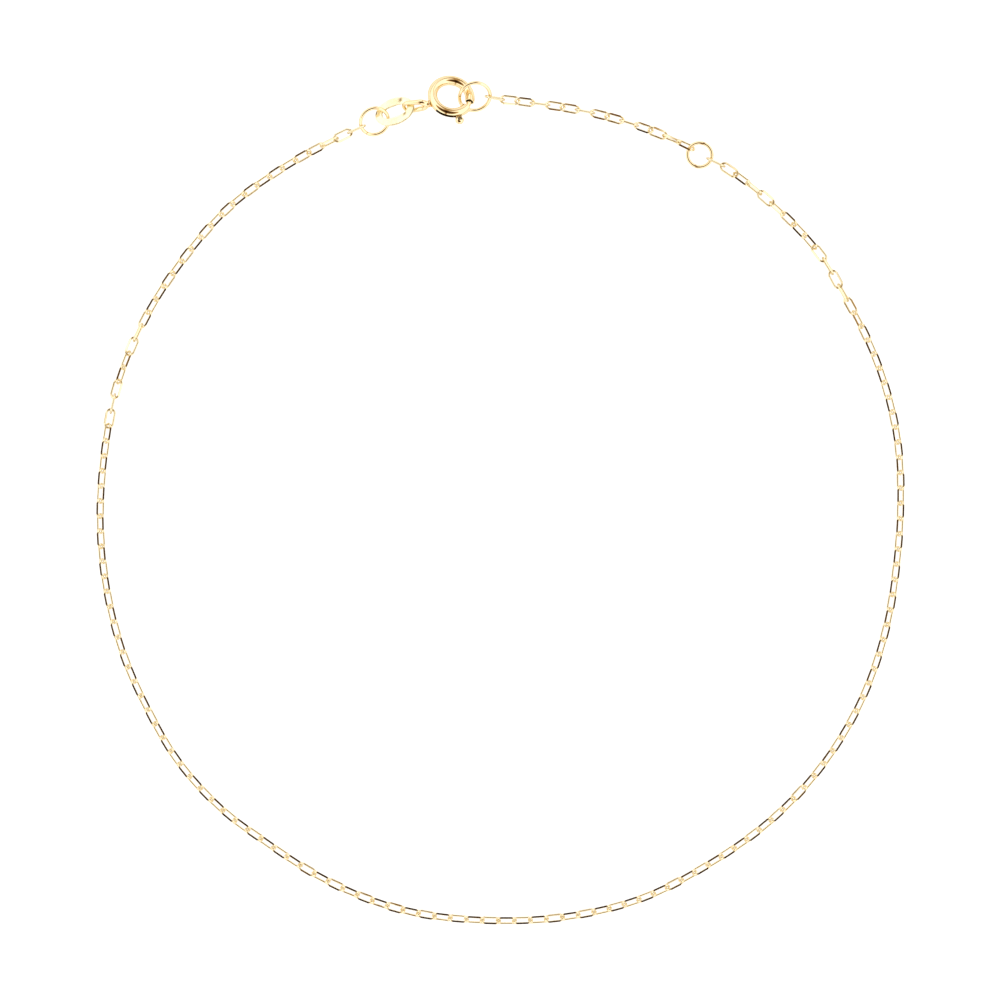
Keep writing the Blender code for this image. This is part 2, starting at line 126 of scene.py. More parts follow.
# Spring ring clasp
SPRING_RING_RADIUS = 2.07 * MM
SPRING_TUBE = 1.03 * MM
SPRING_WALL = 0.12 * MM
SPRING_GAP_FROM = math.radians(-37)
SPRING_GAP_TO = math.radians(-15)
SPRING_STEP = math.radians(2)
SPRING_SIDES = 40
SLOT_SIDES = 6
RIM = 0.02 * MM
PAINTED_SHADE_WALL_SHARE = 0.8
BOLT = 0.5 * MM
BOLT_ENTRY = math.radians(5)
BOLT_TAIL = math.radians(14)
BOLT_STEPS = 60
BOLT_SIDES = 24
BOLT_NOSE = 0.6
BOLT_TIP = 0.3
TRIGGER_ANGLE = math.radians(-75)
TRIGGER_TRAVEL = math.radians(50)
SLOT_WIDTH = 0.42 * MM
SLOT_CLEARANCE = 0.06 * MM
STEM_LENGTH = 0.5 * MM
KNOB_GAP = 0.06 * MM
KNOB_LENGTH = 0.88 * MM
KNOB_NECK = 0.66 * MM
KNOB_WIDTH = 0.92 * MM
KNOB_THICKNESS = 0.62 * MM
KNOB_FLARE = 0.1 * MM
KNOB_SHOULDER = 0.36 * MM
KNOB_HEART = 0.1 * MM
KNOB_LEVELS = 12
KNOB_TURN = math.radians(80)
KNOB_RISE = 0.97
KNOB_ROUNDNESS = 3
KNOB_ARC_STEPS = 16
GRIP_GROOVES = 3
GRIP_GROOVE = 0.13 * MM
GRIP_DEPTH = 0.22 * MM
GRIP_LENGTH = 0.55 * MM
GRIP_START = 0.02 * MM
STEM_RIM = 0.03 * MM

# Eye soldered to the clasp
EYE_WIRE = 0.48 * MM
EYE_LENGTH = 3.0 * MM
EYE_WIDTH = 1.75 * MM
EYE_ANGLE = math.radians(204)
EYE_HEADING = math.radians(188.5)
EYE_DROP = math.radians(20)
EYE_LEAN = math.radians(39)
EYE_TAPER = 0.34
EYE_SPREAD = 0.28
EYE_FULLNESS = 1.08
EYE_END_POINTS = 25
EYE_SIDES = 20
COLLAR_LENGTH = 0.45 * MM
SOLDER = 0.08 * MM
COLLAR_SIDES = 32

# Outline of the grooved collar: distance from the clasp and radius in millimetres
COLLAR_PROFILE = [
    (0.0, 0.36), (0.05, 0.38), (0.09, 0.37), (0.10, 0.26), (0.17, 0.26), (0.18, 0.37),
    (0.22, 0.39), (0.5, 0.39), (0.58, 0.37), (0.63, 0.32), (0.65, 0.22),
]

# Tag
TAG_LENGTH = 4.55 * MM
TAG_WIDTH = 2.95 * MM
TAG_HOLE_LENGTH = 2.95 * MM
TAG_HOLE_WIDTH = 1.15 * MM
TAG_HOLE_FULLNESS = 2.6
TAG_THICKNESS = 0.22 * MM
TAG_EDGE = 0.05 * MM
TAG_STEPS = 180
TAG_ARC = 4
TAG_BAND = 8
TAG_GRAIN = 700
TAG_GRAIN_DEPTH = 0.012 * MM

# Shallow dents of the tag's face: place and depth
TAG_DENTS = [
    (-1.15 * MM, -0.82 * MM, 0.034 * MM),
    (2.0 * MM, -0.4 * MM, 0.04 * MM),
    (-1.13 * MM, 0.78 * MM, 0.034 * MM),
]
TAG_DENT_SIZE = 0.28 * MM

# Golds: pale and deep colour, colour towards edges, least and most roughness, strength of scratches
GOLDS = {
    "fine_chain_gold": ((0.93, 0.82, 0.57), (0.88, 0.74, 0.45), (0.40, 0.29, 0.15), 0.06, 0.12, 0.1),
    "fine_clasp_gold": ((0.94, 0.78, 0.49), (0.90, 0.72, 0.42), (0.78, 0.62, 0.36), 0.06, 0.12, 0.1),
    "fine_tag_gold": ((0.95, 0.88, 0.64), (0.89, 0.80, 0.50), (0.5, 0.4, 0.2), 0.12, 0.24, 0.4),
    # The last entry is painted shade, not a gold: a near-black brown laid on the clasp tube's inside and in
    # the grip's grooves to stand in for the shade there.
    "fine_painted_recess_shade": ((0.22, 0.14, 0.06), (0.12, 0.07, 0.03), (0.3, 0.2, 0.1), 0.35, 0.5, 0.3),
}
PATCH_SCALE = 900
WEAR_SCALE = 2600
SCRATCH_SCALE = 5200
SCRATCH_DEPTH = 0.01 * MM
SCRATCH_STRETCH = (1, 4, 1)
SCRATCH_TURN = (0.3, 0.2, 0.6)
NOISE_LOW = 0.3
NOISE_HIGH = 0.7

# Studio: the ramp runs from level to straight up
DOME_STRENGTH = 1.5
DOME_RAMP = [
    (0.0, (0.45, 0.42, 0.38)),
    (0.20, (0.70, 0.68, 0.66)),
    (0.34, (1.0, 1.0, 1.0)),
    (0.78, (1.0, 1.0, 1.0)),
    (0.84, (0.42, 0.28, 0.14)),
    (0.91, (0.13, 0.07, 0.025)),
    (0.94, (0.055, 0.028, 0.009)),
    (0.995, (0.055, 0.028, 0.009)),
]
SLIT_ACROSS = (0.951, -0.309, 0.0)
SLIT_INNER = 0.05
SLIT_OUTER = 0.10
SLIT_COLOR = (0.34, 0.22, 0.10)
FLOOR_GLOW = 0.9
FLOOR_COLOR = 0.3
FLOOR_HALF = 1.5
FLOOR_DROP = 0.01 * MM
FLOOR_GRAIN = 60
FLOOR_SMOOTHEST = 0.55
FLOOR_ROUGHEST = 0.65
FLOOR_SHEEN = 0.2


# Materials


def new_material(name):
    material = bpy.data.materials.new(name)
    material.use_nodes = True
    nodes = material.node_tree.nodes
    return material, nodes, material.node_tree.links, nodes["Principled BSDF"]


def noise_value(nodes, links, position, scale, detail):
    texture = nodes.new("ShaderNodeTexNoise")
    texture.inputs["Scale"].default_value = scale
    texture.inputs["Detail"].default_value = detail
    links.new(position, texture.inputs["Vector"])
    return texture.outputs["Fac"]


def spread(nodes, links, value, low, high):
    """The value from a noise, stretched to run from low to high."""
    mapped = nodes.new("ShaderNodeMapRange")
    mapped.inputs["From Min"].default_value = NOISE_LOW
    mapped.inputs["From Max"].default_value = NOISE_HIGH
    mapped.inputs["To Min"].default_value = low
    mapped.inputs["To Max"].default_value = high
    links.new(value, mapped.inputs["Value"])
    return mapped.outputs["Result"]


def gold(name, pale, deep, edge, polish, worn, grain):
    """Polished gold: its colour wanders a little between two golds, its polish between two roughnesses. The
    same recipe makes the near-black painted shade laid in the clasp's recesses.
    """
    material, nodes, links, shader = new_material(name)
    shader.inputs["Metallic"].default_value = 1.0
    shader.inputs["Specular Tint"].default_value = (*edge, 1)
    position = nodes.new("ShaderNodeTexCoord").outputs["Object"]
    patches = noise_value(nodes, links, position, PATCH_SCALE, 3)
    mix = nodes.new("ShaderNodeMix")
    mix.data_type = "RGBA"
    mix.inputs["A"].default_value = (*pale, 1)
    mix.inputs["B"].default_value = (*deep, 1)
    links.new(spread(nodes, links, patches, 0, 1), mix.inputs["Factor"])
    links.new(mix.outputs["Result"], shader.inputs["Base Color"])
    wear = noise_value(nodes, links, position, WEAR_SCALE, 5)
    links.new(spread(nodes, links, wear, polish, worn), shader.inputs["Roughness"])
    stretch = nodes.new("ShaderNodeMapping")
    stretch.inputs["Scale"].default_value = SCRATCH_STRETCH
    stretch.inputs["Rotation"].default_value = SCRATCH_TURN
    links.new(position, stretch.inputs["Vector"])
    scratches = noise_value(nodes, links, stretch.outputs["Vector"], SCRATCH_SCALE, 6)
    bump = nodes.new("ShaderNodeBump")
    bump.inputs["Strength"].default_value = grain
    bump.inputs["Distance"].default_value = SCRATCH_DEPTH
    links.new(scratches, bump.inputs["Height"])
    links.new(bump.outputs["Normal"], shader.inputs["Normal"])
    return material


# Meshes


def mesh_piece(name, vertices, faces, material, body, sharp=35):
    """A shown piece from points and faces in the row frame."""
    mesh = bpy.data.meshes.new(name)
    mesh.from_pydata([tuple(v) for v in vertices], [], faces)
    mesh.materials.append(material)
    shape = bmesh.new()
    shape.from_mesh(mesh)
    bmesh.ops.recalc_face_normals(shape, faces=shape.faces)
    shape.to_mesh(mesh)
    shape.free()
    mesh.shade_smooth()
    mesh.set_sharp_from_angle(angle=math.radians(sharp))
    obj = bpy.data.objects.new(name, mesh)
    bpy.context.scene.collection.objects.link(obj)
    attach(obj, body)
    return obj


def sweep(stations, closed):
    """Points and faces of sections carried along a path. Each station is a list of its section's points."""
    sides = len(stations[0])
    points = [point for station in stations for point in station]
    rows = len(stations)
    faces = []
    for i in range(rows if closed else rows - 1):
        a, b = i * sides, (i + 1) % rows * sides
        for j in range(sides):
            k = (j + 1) % sides
            faces.append((a + j, a + k, b + k, b + j))
    if not closed:
        faces.append(tuple(range(sides)))
        faces.append(tuple((rows - 1) * sides + j for j in range(sides)))
    return points, faces


def join_shapes(shapes):
    """Several (points, faces) as one."""
    points, faces = [], []
    for more_points, more_faces in shapes:
        start = len(points)
        points.extend(more_points)
        faces.extend(tuple(start + i for i in face) for face in more_faces)
    return points, faces


def moved(shape, matrix):
    points, faces = shape
    return [matrix @ p for p in points], faces


def circle_section(centre, across, up, radius, sides):
    turns = [2 * math.pi * k / sides for k in range(sides)]
    return [centre + (across * math.cos(t) + up * math.sin(t)) * radius for t in turns]


def frame_from(x_axis, up, origin):
    """Matrix at origin with X along x_axis and Z as near to up as it can be."""
    x_axis = x_axis.normalized()
    y_axis = up.cross(x_axis).normalized()
    z_axis = x_axis.cross(y_axis)
    matrix = Matrix((x_axis, y_axis, z_axis)).transposed().to_4x4()
    matrix.translation = origin
    return matrix


def node_frame(node):
    """Frame of a CAD node: its centre, with X along its longest direction and Z along its shortest."""
    points = np.array([v.co for v in frame["nodes"][node].data.vertices])
    centre = points.mean(0)
    _, _, axes = np.linalg.svd(points - centre, full_matrices=False)
    x_axis, z_axis = Vector(axes[0]), Vector(axes[2])
    if z_axis.z < 0:
        z_axis = -z_axis
    return frame_from(x_axis, z_axis, Vector(centre))


# Route of the chain


def route_radius(angle):
    """Radius of the loop at this angle, on a smooth closed curve through the route's rows."""
    degrees = math.degrees(angle) % 360
    count = len(ROUTE)
    row = bisect_right([a for a, _ in ROUTE], degrees) - 1
    (a0, r0), (a1, r1), (a2, r2), (a3, r3) = (
        (
            ROUTE[(row + k) % count][0] + 360 * ((row + k) // count),
            ROUTE[(row + k) % count][1],
        )
        for k in (-1, 0, 1, 2)
    )
    span = a2 - a1
    t = (degrees - a1) / span
    start_slope = (r2 - r0) / (a2 - a0) * span
    end_slope = (r3 - r1) / (a3 - a1) * span
    share = (
        r1 * (2 * t**3 - 3 * t**2 + 1)
        + start_slope * (t**3 - 2 * t**2 + t)
        + r2 * (3 * t**2 - 2 * t**3)
        + end_slope * (t**3 - t**2)
    )
    return LOOP_RADIUS * share


class Route:
    """The loop as distances along it, clockwise from the clasp's centre."""

    def __init__(self):
        steps = round(2 * math.pi / ROUTE_STEP)
        angles = [CLASP_ANGLE - 2 * math.pi * k / steps for k in range(steps + 1)]
        self.points = [
            LOOP_CENTRE + Vector((math.cos(a), math.sin(a), 0.0)) * route_radius(a) for a in angles
        ]
        self.along = [0.0]
        for before, after in zip(self.points, self.points[1:]):
            self.along.append(self.along[-1] + (after - before).length)
        self.length = self.along[-1]

    def at(self, distance):
        distance %= self.length
        row = min(bisect_right(self.along, distance), len(self.along) - 1)
        share = (distance - self.along[row - 1]) / (self.along[row] - self.along[row - 1])
        return self.points[row - 1].lerp(self.points[row], share)

    def heading(self, distance):
        step = LINK_LENGTH / 2
        return (self.at(distance + step) - self.at(distance - step)).normalized()

    def distance_to(self, point):
        offset = point - LOOP_CENTRE
        turned = (CLASP_ANGLE - math.atan2(offset.y, offset.x)) % (2 * math.pi)
        row = min(int(turned / (2 * math.pi) * (len(self.along) - 1)), len(self.along) - 2)
        share = turned / (2 * math.pi) * (len(self.along) - 1) - row
        return self.along[row] + share * (self.along[row + 1] - self.along[row])


def place_of(route, degrees):
    """Distance along the route to this angle."""
    turn = math.radians(degrees)
    return route.distance_to(LOOP_CENTRE + Vector((math.cos(turn), math.sin(turn), 0.0)))


# Chain


def link_section(centre, outward, up, cut):
    """Round wire with two flats cut along its outer corners, each as deep as cut times the radius."""
    radius = LINK_WIRE / 2
    half = math.acos(1 - CUT_DEPTH)
    bare = 2 * math.pi - 2 * (CUT_ANGLE + half)
    turns = [CUT_ANGLE - half, CUT_ANGLE, CUT_ANGLE + half]
    turns += [CUT_ANGLE + half + bare * k / ROUND_SEGMENTS for k in range(1, ROUND_SEGMENTS)]
    turns += [-CUT_ANGLE - half, -CUT_ANGLE, -CUT_ANGLE + half, 0.0]
    section = []
    for turn in turns:
        reach = radius
        for middle in (CUT_ANGLE, -CUT_ANGLE):
            facing = math.cos(turn - middle)
            if facing > 0:
                reach = min(reach, radius * (1 - CUT_DEPTH * cut) / facing)
        section.append(centre + (outward * math.cos(turn) + up * math.sin(turn)) * reach)
    return section


def link_shape():
    """A long link of wire in the XY plane with narrowing ends, round which its flats fade out."""
    half_width = (LINK_WIDTH - LINK_WIRE) / 2
    straight = (LINK_LENGTH - LINK_WIRE) / 2 - LINK_END_REACH
    path = []
    for side, start in ((1, -math.pi / 2), (-1, math.pi / 2)):
        for k in range(LINK_END_POINTS):
            turn = start + math.pi * k / (LINK_END_POINTS - 1)
            along = side * abs(math.cos(turn)) ** LINK_END_POWER
            across = math.copysign(abs(math.sin(turn)) ** LINK_END_POWER, math.sin(turn))
            path.append(Vector((side * straight + LINK_END_REACH * along, half_width * across, 0.0)))
    stations = []
    for k, centre in enumerate(path):
        ahead = path[(k + 1) % len(path)] - path[k - 1]
        outward = Vector((ahead.y, -ahead.x, 0.0)).normalized()
        cut = max(0.0, 1 - abs(outward.x) * CUT_FADE)
        stations.append(link_section(centre, outward, UP, cut))
    return sweep(stations, closed=True)


def rest_height(roll):
    """Height of a link's axis when its lower rail touches the ground."""
    return (LINK_WIDTH - LINK_WIRE) / 2 * abs(math.sin(math.radians(roll))) + LINK_WIRE / 2


def ring_joint(ring, radius, toward):
    """Where a link holds a ring, on the side that points toward."""
    normal = ring.to_3x3() @ UP
    flat = (toward - normal * toward.dot(normal)).normalized()
    return ring.translation + flat * (radius - (RING_WIRE + RING_PLAY) / 2)


def wire_radius(node):
    """Radius of a ring's wire centre line, from the CAD node."""
    centre = node_frame(node).translation
    reach = max((v.co - centre).length for v in frame["nodes"][node].data.vertices)
    return reach - RING_WIRE / 2


def main_run_rolls():
    """Roll of every link, each a quarter turn on from the last and then rocked a little."""
    chance = random.Random(ROCK_SEED)
    rolls = []
    for number in range(1, MAIN_LINKS + 1):
        roll = float(np.interp(number, [n for n, _ in TWIST], [t for _, t in TWIST]))
        roll += 90 * (number % 2) + chance.uniform(-ROCK, ROCK)
        if number % 2 == 0:
            roll += sum(turn for first, last, turn in ROCKED if first <= number <= last)
        rolls.append(roll)
    return rolls


def main_run_joints(route, rolls):
    """The points where the links hold each other, from the adjuster ring round to the tag's ring."""
    adjuster, tag_ring = node_frame("adjuster_ring"), node_frame("tag_ring")
    beside_adjuster = route.distance_to(adjuster.translation) + wire_radius("adjuster_ring")
    first_heading = route.at(beside_adjuster) - adjuster.translation
    last_heading = route.heading(route.distance_to(tag_ring.translation))
    first = ring_joint(adjuster, wire_radius("adjuster_ring"), first_heading)
    last = ring_joint(tag_ring, wire_radius("tag_ring"), -last_heading)
    numbers = [0.5] + [number for number, _ in PLACES] + [MAIN_LINKS + 0.5]
    distances = [route.distance_to(first)]
    distances += [place_of(route, degrees) for _, degrees in PLACES]
    distances += [route.distance_to(last)]
    joints = [first]
    for k in range(1, MAIN_LINKS):
        joint = route.at(float(np.interp(k + 0.5, numbers, distances)))
        joint.z = max(rest_height(rolls[k - 1]), rest_height(rolls[k]))
        joints.append(joint)
    joints.append(last)
    return joints


def make_main_run(route, material):
    rolls = main_run_rolls()
    joints = main_run_joints(route, rolls)
    shape = link_shape()
    links = []
    for start, end, roll in zip(joints, joints[1:], rolls):
        matrix = frame_from(end - start, UP, (start + end) / 2)
        matrix = matrix @ Matrix.Rotation(math.radians(roll), 4, "X")
        links.append(moved(shape, matrix))
    points, faces = join_shapes(links)
    piece = mesh_piece("main_run_links", points, faces, material, "anklet")
    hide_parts("main_chain")


def make_extender(material):
    shape = link_shape()
    for node in sorted(n for n in frame["nodes"] if n.startswith("extender_link")):
        points, faces = moved(shape, node_frame(node))
        name = node.replace("extender_link", "fine_link")
        piece = mesh_piece(name, points, faces, material, "anklet")
        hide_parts(node)


def make_jump_ring(node, seam_angle, material):
    """Wire bent to a ring, with a fine seam where its ends meet."""
    matrix = node_frame(node)
    radius = wire_radius(node)
    seam = SEAM / radius / 2
    stations = []
    turns = [seam + (2 * math.pi - 2 * seam) * k / (RING_STEPS - 1) for k in range(RING_STEPS)]
    turns.insert(1, turns[0] + RING_BEVEL * RING_WIRE / 2 / radius)
    turns.insert(-1, turns[-1] - RING_BEVEL * RING_WIRE / 2 / radius)
    for k, turn in enumerate(turns):
        outward = Vector((math.cos(turn + seam_angle), math.sin(turn + seam_angle), 0.0))
        rim = k in (0, len(turns) - 1)
        wire = RING_WIRE / 2 * (1 - RING_BEVEL if rim else 1)
        stations.append(circle_section(outward * radius, outward, UP, wire, RING_SIDES))
    points, faces = moved(sweep(stations, closed=False), matrix)
    piece = mesh_piece(node + "_wire", points, faces, material, "anklet")
    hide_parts(node)


# Clasp


def clasp_frame():
    """The clasp's own frame, tipped by the shortest way from level to its joint's axis."""
    joint = frame["joints"][0]
    matrix = UP.rotation_difference(Vector(joint["axis"])).to_matrix().to_4x4()
    matrix.translation = Vector(joint["pos_m"])
    return matrix


def tube_shell(start, end, slot_start, slot_end):
    """A hollow tube bent to a ring, open at both ends and along a slot in its outer wall."""
    outer, inner = SPRING_TUBE / 2, SPRING_TUBE / 2 - SPRING_WALL
    turns = list(np.arange(start, end, SPRING_STEP))
    turns += [end, slot_start, slot_end]
    turns = sorted(turns)
    clean = [turns[0]]
    for turn in turns[1:]:
        if turn - clean[-1] > SPRING_STEP / 4 or turn in (slot_start, slot_end, end):
            clean.append(turn)
    grids = []
    for radius in (outer, inner):
        half = math.asin(SLOT_WIDTH / 2 / radius)
        sides = [-half + 2 * half * k / SLOT_SIDES for k in range(SLOT_SIDES)]
        rest = SPRING_SIDES - SLOT_SIDES
        sides += [half + (2 * math.pi - 2 * half) * k / rest for k in range(rest)]
        grids.append(
            [
                [
                    Vector((math.cos(t), math.sin(t), 0.0)) * (SPRING_RING_RADIUS + radius * math.cos(s))
                    + UP * radius * math.sin(s)
                    for s in sides
                ]
                for t in clean
            ]
        )
    rows, columns = len(clean), SPRING_SIDES
    points = [p for grid in grids for row in grid for p in row]

    def index(layer, i, j):
        return (layer * rows + i) * columns + j % columns

    def kept(i, j):
        if not 0 <= i < rows - 1:
            return False
        middle = (clean[i] + clean[i + 1]) / 2
        return not (slot_start < middle < slot_end and j % columns < SLOT_SIDES)

    faces = []
    for i in range(-1, rows):
        for j in range(columns):
            if kept(i, j):
                faces.append([index(0, *c) for c in ((i, j), (i + 1, j), (i + 1, j + 1), (i, j + 1))])
                faces.append([index(1, *c) for c in ((i, j), (i, j + 1), (i + 1, j + 1), (i + 1, j))])
            if i + 1 < rows and kept(i, j) != kept(i + 1, j):
                a, b = (i + 1, j), (i + 1, j + 1)
                faces.append([index(0, *a), index(0, *b), index(1, *b), index(1, *a)])
            if 0 <= i < rows - 1 and kept(i, j) != kept(i, j + 1):
                a, b = (i, j + 1), (i + 1, j + 1)
                faces.append([index(0, *a), index(0, *b), index(1, *b), index(1, *a)])
    return points, faces


def soften(obj, width, segments=2, angle=40):
    """Rounds the piece's sharp edges."""
    bevel = obj.modifiers.new("edges", "BEVEL")
    bevel.width = width
    bevel.segments = segments
    bevel.limit_method = "ANGLE"
    bevel.angle_limit = math.radians(angle)
    bevel.harden_normals = False


def eye_matrix():
    heading = Vector(
        (
            math.cos(EYE_HEADING) * math.cos(EYE_DROP),
            math.sin(EYE_HEADING) * math.cos(EYE_DROP),
            -math.sin(EYE_DROP),
        )
    )
    return frame_from(heading, UP, Vector()) @ Matrix.Rotation(math.radians(90) + EYE_LEAN, 4, "X")


def make_eye(clasp, material):
    turned = eye_matrix()
    reach = SPRING_RING_RADIUS + SPRING_TUBE / 2 - SOLDER
    root = clasp @ Vector((math.cos(EYE_ANGLE) * reach, math.sin(EYE_ANGLE) * reach, 0.0))
    half_width = (EYE_WIDTH - EYE_WIRE) / 2
    straight = (EYE_LENGTH - EYE_WIRE) / 2 - half_width
    stations = []
    for side, start in ((1, -math.pi / 2), (-1, math.pi / 2)):
        for k in range(EYE_END_POINTS):
            turn = start + math.pi * k / (EYE_END_POINTS - 1)
            outward = Vector((math.cos(turn), math.sin(turn), 0.0))
            centre = Vector((side * straight, 0, 0)) + outward * half_width
            towards_root = -2 * centre.x / EYE_LENGTH
            centre.y *= 1 - EYE_SPREAD * towards_root
            wire = EYE_WIRE / 2 * (EYE_FULLNESS + EYE_TAPER * towards_root)
            stations.append(circle_section(centre, outward, UP, wire, EYE_SIDES))
    centre = root + turned.to_3x3() @ Vector((COLLAR_LENGTH - SOLDER + EYE_LENGTH / 2, 0, 0))
    points, faces = moved(sweep(stations, closed=True), Matrix.Translation(centre) @ turned)
    mesh_piece("clasp_eye", points, faces, material, "anklet")
    stations = [
        circle_section(Vector((x * MM, 0, 0)), Vector((0, 1, 0)), UP, radius * MM, COLLAR_SIDES)
        for x, radius in COLLAR_PROFILE
    ]
    points, faces = moved(sweep(stations, closed=False), Matrix.Translation(root) @ turned)
    mesh_piece("clasp_collar", points, faces, material, "anklet")


def make_clasp(clasp, material, shade):
    spare = (STEM_LENGTH / 2 + SLOT_CLEARANCE) / SPRING_RING_RADIUS
    full_turn = 2 * math.pi
    shape = tube_shell(
        SPRING_GAP_TO,
        full_turn + SPRING_GAP_FROM,
        full_turn + TRIGGER_ANGLE - TRIGGER_TRAVEL - spare,
        full_turn + TRIGGER_ANGLE + spare,
    )
    points, faces = moved(shape, clasp)
    tube = mesh_piece("clasp_tube", points, faces, material, "anklet")
    # Painted shade: the faces on the tube's inner wall take the near-black recess material, so the tube's
    # inside and its slot read dark.
    tube.data.materials.append(shade)
    to_clasp = clasp.inverted()
    for face in tube.data.polygons:
        centre = to_clasp @ face.center
        from_core = math.hypot(math.hypot(centre.x, centre.y) - SPRING_RING_RADIUS, centre.z)
        if from_core < SPRING_TUBE / 2 - PAINTED_SHADE_WALL_SHARE * SPRING_WALL:
            face.material_index = 1
    soften(tube, RIM)
    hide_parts("spring_ring")
    make_eye(clasp, material)


def bolt_fullness(from_end):
    """Share of its full radius that the bolt has at this distance from its rounded end."""
    length = BOLT / 2 * BOLT_NOSE
    if from_end >= length:
        return 1.0
    return max(BOLT_TIP, math.sqrt(max(0.0, 1 - (1 - from_end / length) ** 2)))


def make_bolt(clasp, material):
    start, end = SPRING_GAP_TO + BOLT_ENTRY, TRIGGER_ANGLE - BOLT_TAIL
    length = abs(end - start) * SPRING_RING_RADIUS
    stations = []
    for k in range(BOLT_STEPS + 1):
        turn = start + (end - start) * k / BOLT_STEPS
        outward = Vector((math.cos(turn), math.sin(turn), 0.0))
        radius = BOLT / 2 * bolt_fullness(min(k, BOLT_STEPS - k) / BOLT_STEPS * length)
        centre = outward * SPRING_RING_RADIUS
        stations.append(circle_section(centre, outward, UP, radius, BOLT_SIDES))
    points, faces = moved(sweep(stations, closed=False), clasp)
    bolt = mesh_piece("trigger_bolt_rod", points, faces, material, "trigger")
    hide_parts("trigger_bolt")


def knob_outline(neck_start):
    """The knob from above, with a short neck and a round end, and the point that its levels shrink to."""
    half_round = KNOB_WIDTH / 2
    middle = neck_start + KNOB_LENGTH - half_round
    outline = [
        Vector((neck_start, -KNOB_NECK / 2, 0)),
        Vector((neck_start + KNOB_FLARE, -KNOB_SHOULDER, 0)),
    ]
    for k in range(KNOB_ARC_STEPS + 1):
        turn = -math.pi / 2 + math.pi * k / KNOB_ARC_STEPS
        outline.append(
            Vector((middle + half_round * math.cos(turn), half_round * math.sin(turn), 0))
        )
    outline.append(Vector((neck_start + KNOB_FLARE, KNOB_SHOULDER, 0)))
    outline.append(Vector((neck_start, KNOB_NECK / 2, 0)))
    return outline, Vector((middle - KNOB_HEART, 0, 0))


def grip_cutters(neck_start):
    """The bars that cut the grip's grooves."""
    spacing = KNOB_NECK / (GRIP_GROOVES + 1)
    low_x, high_x = neck_start + GRIP_START, neck_start + GRIP_LENGTH
    low_z, high_z = KNOB_THICKNESS / 2 - GRIP_DEPTH, KNOB_THICKNESS
    wall = ((low_x, low_z), (high_x, low_z), (high_x, high_z), (low_x, high_z))
    cutters = []
    for k in range(GRIP_GROOVES):
        across = spacing * (k + 1) - KNOB_NECK / 2
        walls = [
            [Vector((x, y, z)) for x, z in wall]
            for y in (across - GRIP_GROOVE / 2, across + GRIP_GROOVE / 2)
        ]
        cutters.append(sweep(walls, closed=False))
    return join_shapes(cutters)


def make_knob(turned, neck_start, material, shade):
    """Knob with domed faces and a grooved grip."""
    outline, heart = knob_outline(neck_start)
    stations = []
    for k in range(KNOB_LEVELS + 1):
        height = math.sin(KNOB_TURN * (2 * k / KNOB_LEVELS - 1)) / math.sin(KNOB_TURN)
        size = (1 - abs(height * KNOB_RISE) ** KNOB_ROUNDNESS) ** 0.5
        stations.append(
            [heart + (p - heart) * size + UP * height * KNOB_THICKNESS / 2 for p in outline]
        )
    points, faces = moved(sweep(stations, closed=False), turned)
    knob = mesh_piece("trigger_knob", points, faces, material, "trigger", sharp=50)
    # Painted shade: the walls that the cutters leave take the near-black recess material, so the grooves
    # read dark.
    points, faces = moved(grip_cutters(neck_start), turned)
    cut_with(knob, points, faces, shade)


def make_stem(turned, neck_start, material):
    """The bar through the slot that joins the knob to the bolt."""
    half_length = STEM_LENGTH / 2
    half_height = SLOT_WIDTH / 2 - SLOT_CLEARANCE
    corners = (
        (-half_length, -half_height),
        (half_length, -half_height),
        (half_length, half_height),
        (-half_length, half_height),
    )
    stations = [
        [Vector((x, y, z)) for y, z in corners]
        for x in (SPRING_RING_RADIUS, neck_start + 2 * KNOB_GAP)
    ]
    points, faces = moved(sweep(stations, closed=False), turned)
    stem = mesh_piece("trigger_stem", points, faces, material, "trigger")
    soften(stem, STEM_RIM)


def make_trigger(clasp, material, shade):
    turned = clasp @ Matrix.Rotation(TRIGGER_ANGLE, 4, "Z")
    neck_start = SPRING_RING_RADIUS + SPRING_TUBE / 2 + KNOB_GAP
    make_bolt(clasp, material)
    make_knob(turned, neck_start, material, shade)
    make_stem(turned, neck_start, material)


def cut_with(obj, points, faces, material):
    """Takes this shape out of the piece, applies the cut and gives its walls the material."""
    mesh = bpy.data.meshes.new("cutter")
    mesh.from_pydata([tuple(p) for p in points], [], faces)
    mesh.materials.append(material)
    shape = bmesh.new()
    shape.from_mesh(mesh)
    bmesh.ops.recalc_face_normals(shape, faces=shape.faces)
    shape.to_mesh(mesh)
    shape.free()
    cutter = bpy.data.objects.new("cutter", mesh)
    bpy.context.scene.collection.objects.link(cutter)
    modifier = obj.modifiers.new("cut", "BOOLEAN")
    modifier.operation = "DIFFERENCE"
    modifier.solver = "EXACT"
    modifier.material_mode = "TRANSFER"
    modifier.object = cutter
    bpy.context.view_layer.update()
    graph = bpy.context.evaluated_depsgraph_get()
    cut = bpy.data.meshes.new_from_object(obj.evaluated_get(graph))
    obj.modifiers.clear()
    obj.data = cut
    bpy.data.objects.remove(cutter, do_unlink=True)


# Tag


def oval_point(turn, length, width, fullness):
    """A point of an ellipse at fullness 2, and of a squarer oval above that."""
    across, along = math.cos(turn), math.sin(turn)
    x = math.copysign(abs(across) ** (2 / fullness), across) * length / 2
    y = math.copysign(abs(along) ** (2 / fullness), along) * width / 2
    return Vector((x, y, 0.0))


